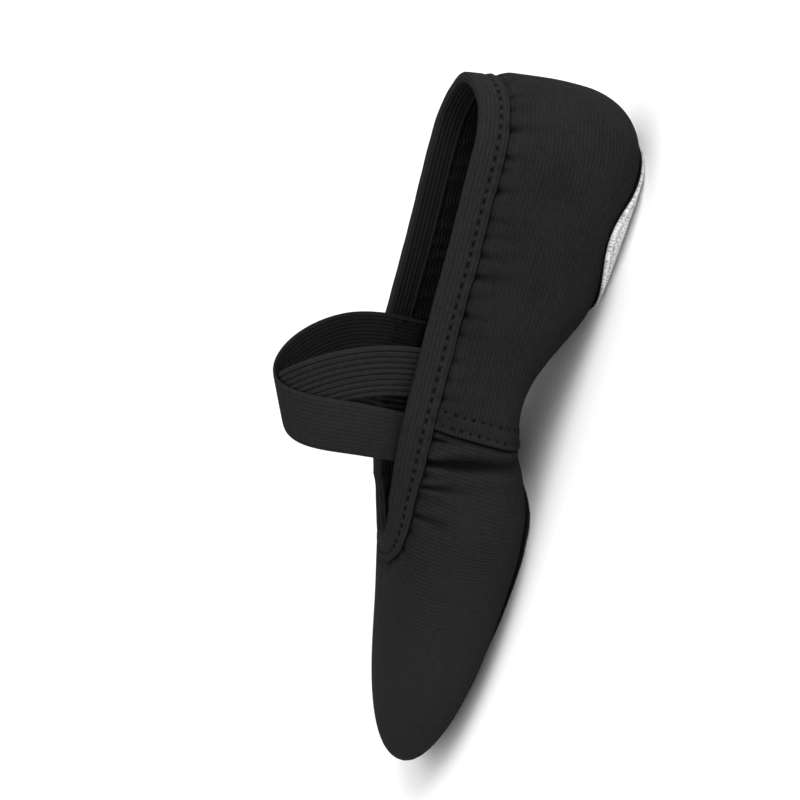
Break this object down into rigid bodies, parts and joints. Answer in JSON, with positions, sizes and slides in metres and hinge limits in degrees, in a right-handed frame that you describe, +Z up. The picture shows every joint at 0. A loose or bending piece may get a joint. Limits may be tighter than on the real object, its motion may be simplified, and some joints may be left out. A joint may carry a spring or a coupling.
{
  "type": "dance practice shoe",
  "caption": "black canvas split-sole dance slipper for the right foot, with bound collar, suede sole patches and crossed elastic straps",
  "frame": {"origin": "on the floor, under the middle of the bounding box", "axes": "+X towards the toe, +Y towards the big-toe side, +Z up"},
  "size_m": [0.2396, 0.0866, 0.096],
  "materials": {
    "canvas": "black stretch canvas, matte, fine ribs",
    "suede": "pale grey suede, napped",
    "sock_cotton": "dark cotton sock lining, matte",
    "binding_tape": "black ribbed tape, folded and sewn",
    "elastic": "black corded elastic"
  },
  "bodies": {
    "root": {"upper": "canvas", "sole_forefoot": "suede", "sole_heel": "suede", "insole": "sock_cotton", "collar_binding": "binding_tape", "strap_under": "elastic", "strap_over": "elastic"}
  },
  "joints": []
}
